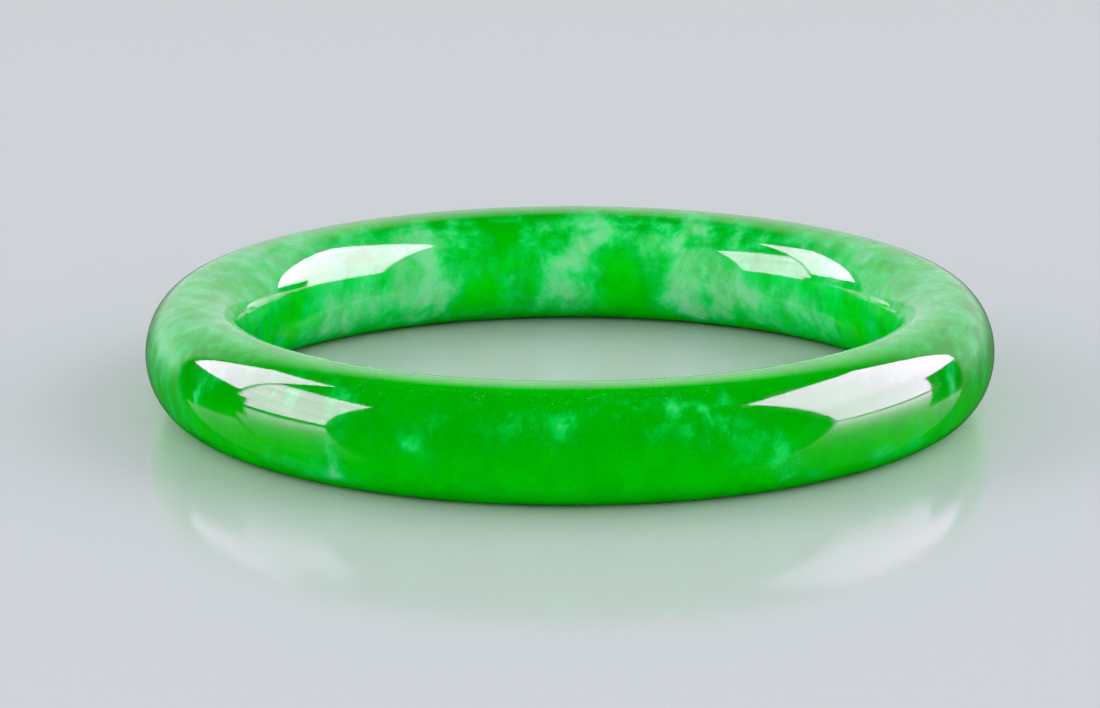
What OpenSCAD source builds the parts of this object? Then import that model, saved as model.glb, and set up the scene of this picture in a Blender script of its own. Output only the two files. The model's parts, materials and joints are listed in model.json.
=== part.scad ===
// Bangle bracelet: a closed round ring carved from a single block of jade.
// All sizes are in millimetres. The ring lies flat, with +Z up along the axis of the
// opening. The origin is the centre of the opening, level with the surface the ring
// rests on.

/* [Opening] */
// smallest diameter of the opening, at the middle of the crowned inner wall
inner_d = 58; // [50:0.5:66]

/* [Band section] */
// height of the band along the axis of the opening
band_h = 10.5; // [8.5:0.1:13]
// height of the straight stretch in the middle of the inner wall
straight_h = 1; // [0.8:0.1:4]
// how far the inner wall stands in from the flats, towards the axis
inner_crown_w = 4.4; // [2:0.1:6]
// width of the narrow flat that runs round the top and round the underside
land_w = 0.7; // [0.3:0.1:2]
// how far the domed outside stands out beyond the flats
dome_w = 4.1; // [2:0.1:6]

/* [Hidden] */
$fn = 240;
jade_green = [0.03, 0.50, 0.18];
half_h = band_h / 2;
inner_r = inner_d / 2;
// height of each curved stretch of the inner wall, above and below the straight one
curve_h = (band_h - straight_h) / 2;
// inner and outer edge of the flats, measured from the axis
land_x = inner_r + inner_crown_w;
dome_x = land_x + land_w;

// The band's section is drawn with x as the distance from the ring's axis and y as the
// height above mid-height.

// the straight stretch of the inner wall, and the flats
module core() {
    translate([inner_r, -straight_h / 2]) square([dome_x - inner_r, straight_h]);
    translate([land_x, -half_h]) square([land_w, band_h]);
}

// the curved stretch of the inner wall above the straight one: a quarter ellipse that
// runs smoothly into the straight stretch and into the flat on the top
module inner_curve() {
    translate([land_x, straight_h / 2])
        intersection() {
            scale([inner_crown_w, curve_h]) circle(r = 1);
            translate([-inner_crown_w - 1, 0]) square([inner_crown_w + 1, curve_h + 1]);
        }
}

// the domed outside: half an ellipse that runs smoothly into both flats
module dome() {
    translate([dome_x, 0])
        intersection() {
            scale([dome_w, half_h]) circle(r = 1);
            translate([0, -band_h]) square([dome_w + 1, 2 * band_h]);
        }
}

module band_section() {
    core();
    dome();
    inner_curve();
    mirror([0, 1]) inner_curve();
}

// the whole ring, a single carved and polished piece
module jade_ring() {
    color(jade_green)
        rotate_extrude()
            translate([0, half_h]) band_section();
}

jade_ring();
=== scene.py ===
import json
import math

import bpy
import numpy as np
from mathutils import Matrix, Vector, noise


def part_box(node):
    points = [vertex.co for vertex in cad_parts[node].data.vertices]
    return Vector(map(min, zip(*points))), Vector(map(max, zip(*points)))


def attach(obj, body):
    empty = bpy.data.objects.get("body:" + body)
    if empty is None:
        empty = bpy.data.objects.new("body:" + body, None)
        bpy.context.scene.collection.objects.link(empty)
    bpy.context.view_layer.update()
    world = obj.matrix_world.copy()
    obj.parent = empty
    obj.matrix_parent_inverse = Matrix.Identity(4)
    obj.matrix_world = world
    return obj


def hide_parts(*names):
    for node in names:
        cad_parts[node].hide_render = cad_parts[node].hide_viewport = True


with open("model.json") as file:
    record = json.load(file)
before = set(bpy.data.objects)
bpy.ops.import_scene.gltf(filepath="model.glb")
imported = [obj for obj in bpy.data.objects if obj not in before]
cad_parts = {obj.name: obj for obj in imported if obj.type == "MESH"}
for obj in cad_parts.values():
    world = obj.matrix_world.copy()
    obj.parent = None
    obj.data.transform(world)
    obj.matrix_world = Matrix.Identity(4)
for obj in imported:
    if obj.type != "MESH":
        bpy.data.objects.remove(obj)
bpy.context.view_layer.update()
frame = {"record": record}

MM = 0.001

# ---------------------------------------------------------------- sizes from the frame
record = frame["record"]
_, ring_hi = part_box("jade_ring")
opening = next(m for m in record["mounts"] if m["name"] == "wrist_opening")
R_IN = opening["dims"]["r_mm"] * MM
R_OUT = ring_hi.x
HEIGHT = ring_hi.z
STRAIGHT_H = opening["dims"]["length_mm"] * MM
# across the bar, from the opening outward: the inner crown, the flat land, the outer dome
CROWN_W = 4.4 * MM
LAND_W = 0.7 * MM
LAND_X = R_IN + CROWN_W
DOME_X = LAND_X + LAND_W
DOME_W = R_OUT - DOME_X

# ---------------------------------------------------------------- camera
# the photograph's camera, from a fit to the ring's outlines: metres, radians, millimetres
CAM_AT = Vector((-0.00131, -0.54573, 0.14155))
PITCH, YAW, ROLL = 0.24585, -0.00089, -0.00205
LENS, SENSOR = 204.2, 36
NEAREST = 0.01


def aim(pitch, yaw, roll):
    """The turn of a camera that looks along +Y, pitched down, yawed towards +X and rolled."""
    forward = Vector((math.sin(yaw) * math.cos(pitch),
                      math.cos(yaw) * math.cos(pitch),
                      -math.sin(pitch)))
    right = Vector((math.cos(yaw), -math.sin(yaw), 0))
    up = right.cross(forward)
    right, up = (right * math.cos(roll) + up * math.sin(roll),
                 up * math.cos(roll) - right * math.sin(roll))
    return Matrix((right, up, -forward)).transposed().to_4x4()


cam_data = bpy.data.cameras.new("camera")
cam_data.sensor_width = SENSOR
cam_data.lens = LENS
cam_data.clip_start = NEAREST
cam = bpy.data.objects.new("camera", cam_data)
cam.matrix_world = Matrix.Translation(CAM_AT) @ aim(PITCH, YAW, ROLL)
bpy.context.scene.collection.objects.link(cam)
bpy.context.scene.camera = cam


# ---------------------------------------------------------------- ring mesh
AROUND = 720
DOME_STEPS, LAND_STEPS, CROWN_STEPS, STRAIGHT_STEPS = 34, 2, 28, 3


def section():
    """Points round the bar's section as (radius, height), and their outward normals. They run
    from the outermost point up over the top and down the inner wall."""
    points, normals = [], []
    half = HEIGHT / 2
    curve = (HEIGHT - STRAIGHT_H) / 2

    def add(r, z, nr, nz):
        length = math.hypot(nr, nz)
        points.append((r, half + z))
        normals.append((nr / length, nz / length))

    def arc(x, z, w, h, start, end, steps):
        for i in range(steps):
            t = math.radians(start + (end - start) * i / steps)
            c, s = math.cos(t), math.sin(t)
            add(x + w * c, z + h * s, c / w, s / h)

    arc(DOME_X, 0, DOME_W, half, 0, 90, DOME_STEPS)
    for i in range(LAND_STEPS):
        add(DOME_X - LAND_W * i / LAND_STEPS, half, 0, 1)
    arc(LAND_X, STRAIGHT_H / 2, CROWN_W, curve, 90, 180, CROWN_STEPS)
    for i in range(STRAIGHT_STEPS):
        add(R_IN, STRAIGHT_H * (0.5 - i / STRAIGHT_STEPS), -1, 0)
    arc(LAND_X, -STRAIGHT_H / 2, CROWN_W, curve, 180, 270, CROWN_STEPS)
    for i in range(LAND_STEPS):
        add(LAND_X + LAND_W * i / LAND_STEPS, -half, 0, -1)
    arc(DOME_X, 0, DOME_W, half, 270, 360, DOME_STEPS)
    return np.array(points), np.array(normals)


pts, nrm = section()
M = len(pts)
az = np.radians(np.arange(AROUND) * 360 / AROUND)
# azimuth 0 faces the camera side (-Y) and grows towards +X
sx, sy = np.sin(az)[:, None], -np.cos(az)[:, None]


def swept(across, upward):
    """The section's points or normals carried round the axis, one row of them per azimuth."""
    upward = np.broadcast_to(upward, (AROUND, M))
    return np.stack([across * sx, across * sy, upward], -1).reshape(-1, 3)


P = swept(*pts.T)
N = swept(*nrm.T)

# hand polish leaves the surface very slightly uneven: only ever inside the nominal skin
POLISH = 0.020 * MM
POLISH_SPAN = 6 * MM
wave = np.array([noise.noise(Vector(p) / POLISH_SPAN) for p in P])
P = P - N * (POLISH * (0.5 + 0.5 * wave))[:, None]

radial = np.hypot(P[:, 0], P[:, 1]) / MM
height = P[:, 2] / MM

# the radius at which the spots on each face are centred
OUTER, INNER, TOP = 37.6, 30.0, 33.7
# where the stone is milky or deep green: azimuth and height of the middle, which face,
# half length round the ring, half height, lean, and how milky (deep green if negative).
# Azimuth and lean are in degrees, and the lengths in millimetres.
CLOUDS = [
    # outside, from the left end to the right
    (-82, 5.6, OUTER, 5.0, 5.0, 0, 0.26),
    (-70, 7.6, OUTER, 6.0, 2.6, 0, 0.30),
    (-66, 3.6, OUTER, 3.4, 2.4, 0, 0.16),
    (-58, 5.6, OUTER, 0.8, 1.7, 0, 0.52),
    (-41, 2.2, OUTER, 4.0, 1.2, 0, 0.30),
    (-33, 3.6, OUTER, 0.9, 2.4, 8, 0.38),
    (-33, 1.7, OUTER, 3.0, 0.7, 0, 0.34),
    (-22, 6.6, OUTER, 3.2, 1.6, 0, 0.20),
    (-5.5, 8.2, OUTER, 3.2, 2.0, -10, 0.20),
    (-0.8, 8.0, OUTER, 1.4, 2.1, 0, 0.20),
    (14, 9.0, OUTER, 5.0, 1.0, 0, 0.16),
    (-12, 7.8, OUTER, 1.0, 1.4, 0, 0.16),
    (-20, 5.6, OUTER, 1.6, 2.2, 5, 0.18),
    (8.5, 7.8, OUTER, 1.0, 1.8, 0, 0.18),
    (20, 7.8, OUTER, 1.2, 1.8, 0, 0.18),
    (26, 5.2, OUTER, 1.6, 1.6, 20, 0.18),
    (15, 7.4, OUTER, 1.2, 2.2, 5, 0.17),
    (22.5, 6.0, OUTER, 2.2, 2.0, 25, 0.20),
    (28.5, 3.7, OUTER, 1.8, 2.0, 35, 0.28),
    (33.5, 2.4, OUTER, 0.9, 0.8, 30, 0.34),
    (48, 2.0, OUTER, 4.0, 0.8, 0, 0.26),
    (60.5, 6.6, OUTER, 1.0, 1.0, 0, 0.36),
    (61, 3.6, OUTER, 2.2, 1.4, 0, 0.20),
    (69, 6.6, OUTER, 5.0, 3.4, 0, 0.28),
    (82, 5.6, OUTER, 5.0, 5.0, 0, 0.28),
    (-50, 4.5, OUTER, 3.5, 2.5, 0, -0.25),
    (-14, 4.0, OUTER, 5.0, 3.6, 0, -0.16),
    (6, 4.0, OUTER, 5.0, 3.6, 0, -0.16),
    (38, 3.6, OUTER, 3.0, 2.0, 0, -0.20),
    (-15, 8.6, OUTER, 3.0, 1.2, 0, -0.15),
    (31, 9.2, OUTER, 6.0, 0.9, 0, -0.10),
    (66, 5.0, OUTER, 1.4, 1.4, 0, -0.30),
    # the flat top and the shoulders at both ends
    (-90, 9.6, TOP, 22.0, 2.4, 0, 0.42),
    (90, 9.6, TOP, 22.0, 2.4, 0, 0.42),
    (-64, 9.9, TOP, 8.0, 1.0, 0, 0.22),
    (64, 9.9, TOP, 8.0, 1.0, 0, 0.22),
    (-125, 9.4, TOP, 10.0, 1.6, 0, 0.20),
    (125, 9.4, TOP, 10.0, 1.6, 0, 0.20),
    (0, 10.0, TOP, 20.0, 2.2, 0, -0.34),
    # inner wall, from the left end round the far side to the right end
    (-132, 3.4, INNER, 4.2, 1.8, 0, 0.34),
    (-144, 4.4, INNER, 4.0, 1.7, 0, 0.30),
    (-153, 6.4, INNER, 3.0, 2.8, 20, 0.34),
    (-155, 3.2, INNER, 2.6, 1.7, 0, 0.36),
    (-178, 3.4, INNER, 2.2, 1.9, 0, 0.47),
    (-178.5, 6.2, INNER, 1.8, 1.8, -15, 0.36),
    (177, 8.4, INNER, 1.8, 2.2, 35, 0.32),
    (-168, 4.6, INNER, 1.0, 0.8, 0, 0.19),
    (158.5, 8.4, INNER, 3.2, 2.6, 0, 0.36),
    (158.5, 3.8, INNER, 2.2, 2.3, 0, 0.57),
    (147, 3.6, INNER, 2.4, 2.0, 0, 0.49),
    (151, 5.8, INNER, 2.4, 1.7, 0, 0.34),
    (137, 4.6, INNER, 2.6, 1.5, 0, 0.25),
    (128, 3.8, INNER, 3.0, 1.6, 0, 0.19),
    (116, 3.4, INNER, 3.4, 2.4, 0, -0.34),
    (101, 6.0, INNER, 3.4, 2.4, 0, -0.40),
    (170, 4.0, INNER, 1.9, 3.4, 0, -0.50),
    (-166, 6.4, INNER, 2.8, 3.6, 0, -0.16),
    (-163, 3.0, INNER, 2.0, 1.4, 0, -0.34),
    (-116, 4.6, INNER, 3.4, 1.8, 0, -0.40),
]


# how far a spot reaches across the bar, and the size and depth of its ragged edge
SPOT_REACH = 3.2
RAG_SIZE, RAG = 2.2, 1.1
FINE_RAG_SIZE, FINE_RAG = 0.8, 0.35


def spots(points, table):
    """The sum of a table's soft spots at each point, with ragged edges."""
    mm = points / MM
    warp = np.array([noise.noise_vector(Vector(p) / RAG_SIZE) for p in mm]) * RAG
    fine = [noise.noise_vector(Vector(p) / FINE_RAG_SIZE + Vector((7, 3, 1))) for p in mm]
    warp += np.array(fine) * FINE_RAG
    q = mm + warp
    r = np.hypot(q[:, 0], q[:, 1])
    a = np.arctan2(q[:, 0], -q[:, 1])
    field = np.zeros(len(q))
    for deg, z, radius, half_len, half_h, lean, strength in table:
        turn = (a - math.radians(deg) + math.pi) % (2 * math.pi) - math.pi
        along, rise = turn * radius, q[:, 2] - z
        c, s = math.cos(math.radians(lean)), math.sin(math.radians(lean))
        u, v = c * along + s * rise, c * rise - s * along
        field += strength * np.exp(-(u / half_len) ** 2 - (v / half_h) ** 2
                                   - ((r - radius) / SPOT_REACH) ** 2)
    return field


def rising(value, start, over):
    """0 up to start, then up to 1 over a length."""
    return np.clip((value - start) / over, 0, 1)


cloud = spots(P, CLOUDS)
# a little milkier towards the inner wall and high on the outside, and clear along the bottom
cloud += 0.33 * np.clip((33.5 - radial) / 3, 0, 1)
cloud -= 0.30 * np.clip(1 - height / 1.6, 0, 1)
cloud += 0.06 * rising(radial, 35.5, 1.5) * rising(height, 3.5, 2.5)
# lacy on top: rounded greener gaps in the milky stone
drawn_out = P * ((TOP + (radial - TOP) * 2.0) / radial)[:, None] / MM
drawn_out[:, 2] = height * 2.0
lace = np.array([noise.noise(Vector(p) / 3.6) + 0.45 * noise.noise(Vector(p) / 1.5)
                 for p in drawn_out])
cloud += rising(height, 6.5, 2.0) * (0.13 - 0.60 * np.clip(lace, 0, 0.6))

# painted shade, a darker green that evens out the lighting: on the outside, on the upper half and
# towards the camera; on the inside, on the far wall and near the top
outside = rising(radial, 34.6, 1.5)
ahead, behind = np.clip(-P[:, 1] / MM / radial, 0, 1), np.clip(P[:, 1] / MM / radial, 0, 1)
painted_shade = outside * (0.55 * ahead + rising(height, 2.2, 4.5) * (1 - 0.5 * ahead))
painted_shade += (1 - outside) * (0.42 * behind ** 2 + 0.6 * rising(height, 6.0, 4.0))

# where small pale flecks come to the surface, in the columns of CLOUDS, ending in how many
FLECKS = [
    (-20, 10.1, OUTER, 14.0, 0.45, 0, 0.30),
    (12, 10.1, OUTER, 12.0, 0.50, 0, 0.60),
    (14, 8.8, OUTER, 6.0, 1.0, 0, 0.13),
    (-4, 8.0, OUTER, 3.0, 1.6, 0, 0.12),
    (22, 6.4, OUTER, 4.0, 1.4, 0, 0.09),
    (30, 3.4, OUTER, 2.5, 1.6, 0, 0.27),
    (-33, 1.8, OUTER, 2.5, 1.4, 0, 0.30),
    (-58, 5.6, OUTER, 1.5, 1.8, 0, 0.18),
    (61, 6.6, OUTER, 3.0, 1.2, 0, 0.27),
    (-70, 8.8, OUTER, 6.0, 1.6, 0, 0.21),
    (72, 8.4, OUTER, 6.0, 1.8, 0, 0.21),
    (153, 6.0, INNER, 5.0, 3.0, 0, 0.15),
    (-150, 5.0, INNER, 5.0, 3.0, 0, 0.15),
]
flecks = 0.03 + 0.7 * np.clip(spots(P, FLECKS), 0, 1)

idx = np.arange(AROUND * M).reshape(AROUND, M)
a0, a1 = idx, np.roll(idx, -1, 0)
b0, b1 = np.roll(a0, -1, 1), np.roll(a1, -1, 1)
faces = np.stack([a0, a1, b1, b0], -1).reshape(-1, 4)
mesh = bpy.data.meshes.new("jade_bangle")
mesh.from_pydata(P.tolist(), [], faces.tolist())
mesh.shade_smooth()
mesh.attributes.new("cloud", "FLOAT", "POINT").data.foreach_set("value", cloud)
# the painted shade, handed to the material
mesh.attributes.new("painted_shade", "FLOAT", "POINT").data.foreach_set("value", painted_shade)
mesh.attributes.new("flecks", "FLOAT", "POINT").data.foreach_set("value", flecks)
mesh.validate()
ring = bpy.data.objects.new("jade_bangle", mesh)
bpy.context.scene.collection.objects.link(ring)


# ---------------------------------------------------------------- jade
class Nodes:
    """Short-hand for building a node tree."""

    def __init__(self, tree):
        self.tree = tree

    def node(self, kind, **settings):
        n = self.tree.nodes.new(kind)
        for k, v in settings.items():
            setattr(n, k, v)
        return n

    def link(self, a, b):
        self.tree.links.new(a, b)

    def feed(self, socket, value):
        if isinstance(value, (int, float, tuple)):
            socket.default_value = value
        else:
            self.link(value, socket)

    def math(self, op, a, b=0.0, c=0.0, clamp=False):
        n = self.node("ShaderNodeMath", operation=op, use_clamp=clamp)
        for s, v in zip(n.inputs, (a, b, c)):
            self.feed(s, v)
        return n.outputs[0]

    def noise(self, vector, scale, detail=2.0, rough=0.5, distort=0.0):
        n = self.node("ShaderNodeTexNoise")
        for k, v in (("Vector", vector), ("Scale", scale), ("Detail", detail),
                     ("Roughness", rough), ("Distortion", distort)):
            self.feed(n.inputs[k], v)
        return n.outputs["Fac"]

    def step(self, value, lo, hi, to_lo=0.0, to_hi=1.0):
        n = self.node("ShaderNodeMapRange", interpolation_type="SMOOTHSTEP")
        for k, v in (("Value", value), ("From Min", lo), ("From Max", hi),
                     ("To Min", to_lo), ("To Max", to_hi)):
            self.feed(n.inputs[k], v)
        return n.outputs["Result"]

    def mix(self, fac, a, b):
        n = self.node("ShaderNodeMix", data_type="RGBA")
        self.feed(n.inputs[0], fac)
        self.feed(n.inputs[6], a)
        self.feed(n.inputs[7], b)
        return n.outputs[2]

    def vector(self, x, y):
        n = self.node("ShaderNodeCombineXYZ")
        self.feed(n.inputs[0], x)
        self.feed(n.inputs[1], y)
        return n.outputs[0]

    def scaled(self, vector, scale, offset=(0, 0, 0)):
        n = self.node("ShaderNodeMapping")
        self.feed(n.inputs["Vector"], vector)
        n.inputs["Scale"].default_value = scale
        n.inputs["Location"].default_value = offset
        return n.outputs["Vector"]


def new_material(name):
    """A material with one Principled shader, and the short-hand for its node tree."""
    mat = bpy.data.materials.new(name)
    mat.use_nodes = True
    mat.node_tree.nodes.clear()
    k = Nodes(mat.node_tree)
    k.shader = k.node("ShaderNodeBsdfPrincipled")
    k.link(k.shader.outputs[0], k.node("ShaderNodeOutputMaterial").inputs[0])
    return mat, k


JADE_IOR = 1.66
# how far light carries in the stone, by colour: furthest in green
CARRY, CARRY_LENGTH = (0.12, 1.0, 0.15), 8.0 * MM
DARK_GREEN = (0.000, 0.56, 0.000, 1)
# the darker green of the painted shade
PAINTED_SHADE_GREEN = (0.000, 0.44, 0.000, 1)
PALE_GREEN = (0.42, 0.95, 0.55, 1)
# the stone's colour from clear green to milky
MILKY = [(0.0, (0.000, 0.93, 0.000)), (0.28, (0.000, 0.95, 0.001)), (0.44, (0.000, 0.97, 0.075)),
         (0.60, (0.004, 0.97, 0.200)), (0.79, (0.11, 0.97, 0.32)), (1.0, (0.36, 0.97, 0.52))]


def jade():
    mat, k = new_material("jade")
    coords = k.node("ShaderNodeTexCoord").outputs["Object"]
    mm = k.scaled(coords, (1000, 1000, 1000))
    tall = k.scaled(coords, (1000, 1000, 700), (3, 9, 4))
    streaky = k.scaled(coords, (1000, 1000, 330), (5, 2, 1))
    cloud = k.node("ShaderNodeAttribute", attribute_name="cloud").outputs["Fac"]

    # how milky the stone is: the clouds, broken up by mottling at three sizes
    broad = k.noise(tall, 0.15, 4, 0.5, 0.3)
    mottle = k.noise(tall, 0.50, 4, 0.52, 0.4)
    grain = k.noise(mm, 2.4, 4, 0.6, 0.3)
    milk = k.math("MULTIPLY_ADD", k.math("SUBTRACT", broad, 0.5), 0.8, cloud)
    milk = k.math("MULTIPLY_ADD", k.math("SUBTRACT", mottle, 0.5), 1.00, milk)
    milk = k.math("MULTIPLY_ADD", k.math("SUBTRACT", grain, 0.5), 0.30, milk)
    milk = k.math("ADD", milk, 0.20, clamp=True)

    ramp = k.node("ShaderNodeValToRGB")
    ramp.color_ramp.interpolation = "B_SPLINE"
    while len(ramp.color_ramp.elements) < len(MILKY):
        ramp.color_ramp.elements.new(0.5)
    for e, (at, c) in zip(ramp.color_ramp.elements, MILKY):
        e.position = at
        e.color = (*c, 1)
    k.link(milk, ramp.inputs["Fac"])
    colour = ramp.outputs["Color"]

    # darker and lighter green within the clear stone
    shade = k.noise(tall, 0.34, 5, 0.6, 0.5)
    colour = k.mix(k.step(shade, 0.36, 0.62, 0.42, 0.0), colour, DARK_GREEN)

    # painted shade: a darker green, showing less where the stone is milky
    painted_shade = k.node("ShaderNodeAttribute", attribute_name="painted_shade").outputs["Fac"]
    painted_shade = k.math("MULTIPLY", painted_shade, k.step(milk, 0.30, 0.85, 0.80, 0.15))
    colour = k.mix(painted_shade, colour, PAINTED_SHADE_GREEN)

    # fine whitish hairs, where thin fibres of pale stone come to the surface
    hair = k.noise(streaky, 1.5, 3, 0.5, 1.2)
    hair = k.math("ABSOLUTE", k.math("SUBTRACT", hair, 0.5))
    patch = k.noise(mm, 0.42, 3, 0.5)
    hair = k.math("MULTIPLY", k.step(hair, 0.010, 0.0), k.step(patch, 0.50, 0.62))
    # and small pale flecks, thickest where they were seen
    fleck = k.step(k.noise(tall, 4.6, 3, 0.6), 0.58, 0.80)
    where = k.node("ShaderNodeAttribute", attribute_name="flecks").outputs["Fac"]
    pale = k.math("MULTIPLY", k.math("MAXIMUM", hair, fleck), where)
    colour = k.mix(pale, colour, PALE_GREEN)
    k.link(colour, k.shader.inputs["Base Color"])

    # polish: glossy all over, slightly hazy in places, with faint hairline scratches
    haze = k.noise(mm, 0.8, 4, 0.6)
    k.link(k.step(haze, 0.3, 0.75, 0.02, 0.07), k.shader.inputs["Roughness"])
    scratch = k.noise(k.scaled(coords, (420, 420, 2600), (1, 4, 7)), 1.0, 2, 0.5, 0.4)
    scratch = k.step(k.math("ABSOLUTE", k.math("SUBTRACT", scratch, 0.5)), 0.004, 0.0)
    dimple = k.noise(mm, 0.9, 3, 0.5)
    relief = k.math("MULTIPLY_ADD", scratch, -0.12, dimple)
    bump = k.node("ShaderNodeBump")
    bump.inputs["Strength"].default_value = 0.35
    bump.inputs["Distance"].default_value = 0.01 * MM
    k.link(relief, bump.inputs["Height"])
    k.link(bump.outputs["Normal"], k.shader.inputs["Normal"])

    s = k.shader.inputs
    s["IOR"].default_value = JADE_IOR
    s["Subsurface Weight"].default_value = 1.0
    s["Subsurface Radius"].default_value = CARRY
    s["Subsurface Scale"].default_value = CARRY_LENGTH
    return mat


mesh.materials.append(jade())
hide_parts("jade_ring")
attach(ring, "root")


# ---------------------------------------------------------------- floor
def stage_material(name, colour, roughness, ior):
    mat, k = new_material(name)
    k.shader.inputs["Base Color"].default_value = colour
    k.shader.inputs["Roughness"].default_value = roughness
    k.shader.inputs["IOR"].default_value = ior
    return mat


STAGE_RADIUS = 4.0


def disc(name, z):
    """A round flat sheet of the stage, at a height."""
    rings, around = 8, 96
    verts = [(0, 0, z)]
    for i in range(1, rings + 1):
        for j in range(around):
            t = 2 * math.pi * j / around
            r = STAGE_RADIUS * i / rings
            verts.append((r * math.cos(t), r * math.sin(t), z))
    polys = [(0, 1 + j, 1 + (j + 1) % around) for j in range(around)]
    for i in range(rings - 1):
        for j in range(around):
            a, b = 1 + i * around + j, 1 + i * around + (j + 1) % around
            polys.append((a, a + around, b + around, b))
    me = bpy.data.meshes.new(name)
    me.from_pydata(verts, [], polys)
    ob = bpy.data.objects.new(name, me)
    bpy.context.scene.collection.objects.link(ob)
    return ob


floor = disc("floor", 0)
floor.data.materials.append(stage_material("floor", (0.62, 0.645, 0.675, 1), 0.12, 1.4))
floor.visible_glossy = False

# The ring was seen on a dark glossy table. Only its polish shows one, just under the floor,
# so that the stone's lower half is as deep a green over a pale floor.
table = disc("dark_table", -0.1 * MM)
table.data.materials.append(stage_material("dark_table", (0.012, 0.013, 0.014, 1), 0.08, 1.12))
table.visible_camera = table.visible_diffuse = table.visible_transmission = False
table.visible_shadow = False


# ---------------------------------------------------------------- light
# the panels' sheen is for the polished stone: the floor stays plain from every side
polished = bpy.data.collections.new("polished")
polished.objects.link(ring)
polished.objects.link(table)
floor_only = bpy.data.collections.new("floor_only")
floor_only.objects.link(floor)


def panel(name, deg, x0, x1, y0, y1, sheen=0.0, glow=0.0, tint=(1, 1, 1), shape=None,
          away=1.0, shines_on=polished):
    """A soft panel standing upright, away metres from the ring, at an azimuth, facing it. Its
    edges are in metres on its own face, x growing with the azimuth and y upward. sheen is how
    bright it looks in the polish, and glow how bright it is as a source of light on the stone
    and the floor. shape(k, x, y) gives how the sheen varies over the face."""
    t = math.radians(deg)
    out = Vector((math.sin(t), -math.cos(t), 0))
    up = Vector((0, 0, 1))
    side = up.cross(out)
    turn = Matrix((side, up, out)).transposed().to_4x4()
    for part, radiance in (("sheen", sheen), ("glow", glow)):
        if radiance <= 0:
            continue
        data = bpy.data.lights.new(f"{name}_{part}", "AREA")
        data.shape = "RECTANGLE"
        data.size, data.size_y = x1 - x0, y1 - y0
        data.energy = radiance * math.pi * (x1 - x0) * (y1 - y0)
        if part == "sheen":
            data.color = tint
            if shape:
                data.use_nodes = True
                k = Nodes(data.node_tree)
                face = k.node("ShaderNodeSeparateXYZ")
                k.link(k.node("ShaderNodeNewGeometry").outputs["Parametric"], face.inputs[0])
                x = k.math("MULTIPLY_ADD", face.outputs[0], x1 - x0, x0)
                y = k.math("MULTIPLY_ADD", face.outputs[1], y1 - y0, y0)
                k.link(shape(k, x, y), data.node_tree.nodes["Emission"].inputs["Strength"])
        ob = bpy.data.objects.new(f"{name}_{part}", data)
        centre = out * away + side * ((x0 + x1) / 2) + up * ((y0 + y1) / 2)
        ob.matrix_world = Matrix.Translation(centre) @ turn
        ob.visible_camera = False
        ob.visible_glossy = part == "sheen"
        ob.visible_diffuse = part == "glow"
        if part == "sheen":
            ob.light_linking.receiver_collection = shines_on
        bpy.context.scene.collection.objects.link(ob)


def right_shape(k, x, y):
    """A leaning front edge, a step cut out of the lower rear corner, and a brighter upper part."""
    front = k.step(k.math("MULTIPLY_ADD", y, 0.25, x), -0.415, -0.395)
    step = k.math("MAXIMUM", k.step(y, 0.225, 0.245), k.step(x, 0.275, 0.26))
    bright = k.math("MULTIPLY", k.step(y, 0.33, 0.40, 0.88, 1.0), k.step(y, 1.29, 1.24))
    return k.math("MULTIPLY", k.math("MULTIPLY", front, step), bright)


def left_shape(k, x, y):
    """A leaning front edge, a torn lower rear edge, and soft streaks along the panel."""
    front = k.step(k.math("MULTIPLY_ADD", y, -0.14, x), 0.245, 0.23)
    teeth = k.math("MULTIPLY", k.math("PINGPONG", k.math("ADD", y, 0.01), 0.022), 1.8)
    teeth = k.math("ADD", teeth, k.step(y, 0.17, 0.15, 0.0, 0.075))
    rear = k.step(k.math("SUBTRACT", x, teeth), -0.35, -0.34)
    streak = k.noise(k.vector(k.math("MULTIPLY", x, 2.0), k.math("MULTIPLY", y, 11.0)), 1.0, 3, 0.5)
    streak = k.step(streak, 0.35, 0.65, 0.80, 1.12)
    return k.math("MULTIPLY", k.math("MULTIPLY", front, rear), streak)


def rear_left_shape(k, x, y):
    """A leaning upper edge."""
    return k.step(k.math("MULTIPLY_ADD", x, -0.8, y), 1.18, 1.16)


def fade_up(k, x, y):
    """Brightest low down and fading upward, with soft ends."""
    edge = k.step(k.math("ABSOLUTE", x), 1.35, 1.2)
    return k.math("MULTIPLY", k.step(y, 1.50, 0.65), edge)


# a rose tint, so that the highlights come out white on the green stone
ROSE = (1.0, 0.63, 1.04)
panel("right_panel", 95, -0.76, 0.66, 0.012, 1.29,
      sheen=10.6, glow=2.0, tint=ROSE, shape=right_shape)
panel("left_panel", -80, -0.345, 0.36, 0.03, 0.78,
      sheen=8.0, glow=2.6, tint=ROSE, shape=left_shape)
panel("rear_left_panel", -112, -0.22, 0.225, 0.27, 1.36,
      sheen=8.8, glow=1.8, tint=ROSE, shape=rear_left_shape)
panel("back_panel", 180, -1.35, 1.35, 0, 1.75,
      sheen=0.90, glow=0.7, tint=(0.93, 0.97, 1.0), shape=fade_up)
panel("front_panel", 0, -1.4, 1.4, 0.02, 1.1, glow=1.0)

# plain walls for the floor to mirror, the same from every side
for i in range(4):
    panel(f"wall_{i}", 90 * i, -2.0, 2.0, 0, 1.6,
          sheen=0.62, tint=(0.93, 0.965, 1.0), away=2.0, shines_on=floor_only)

# the even light of the surroundings, not seen in the gloss
WORLD_TINT, WORLD_STRENGTH = (0.93, 0.96, 1.0, 1), 0.37
world = bpy.data.worlds.new("studio")
bpy.context.scene.world = world
world.use_nodes = True
background = world.node_tree.nodes["Background"]
background.inputs["Color"].default_value = WORLD_TINT
background.inputs["Strength"].default_value = WORLD_STRENGTH
world.cycles_visibility.glossy = False
bpy.context.scene.view_settings.view_transform = "Standard"
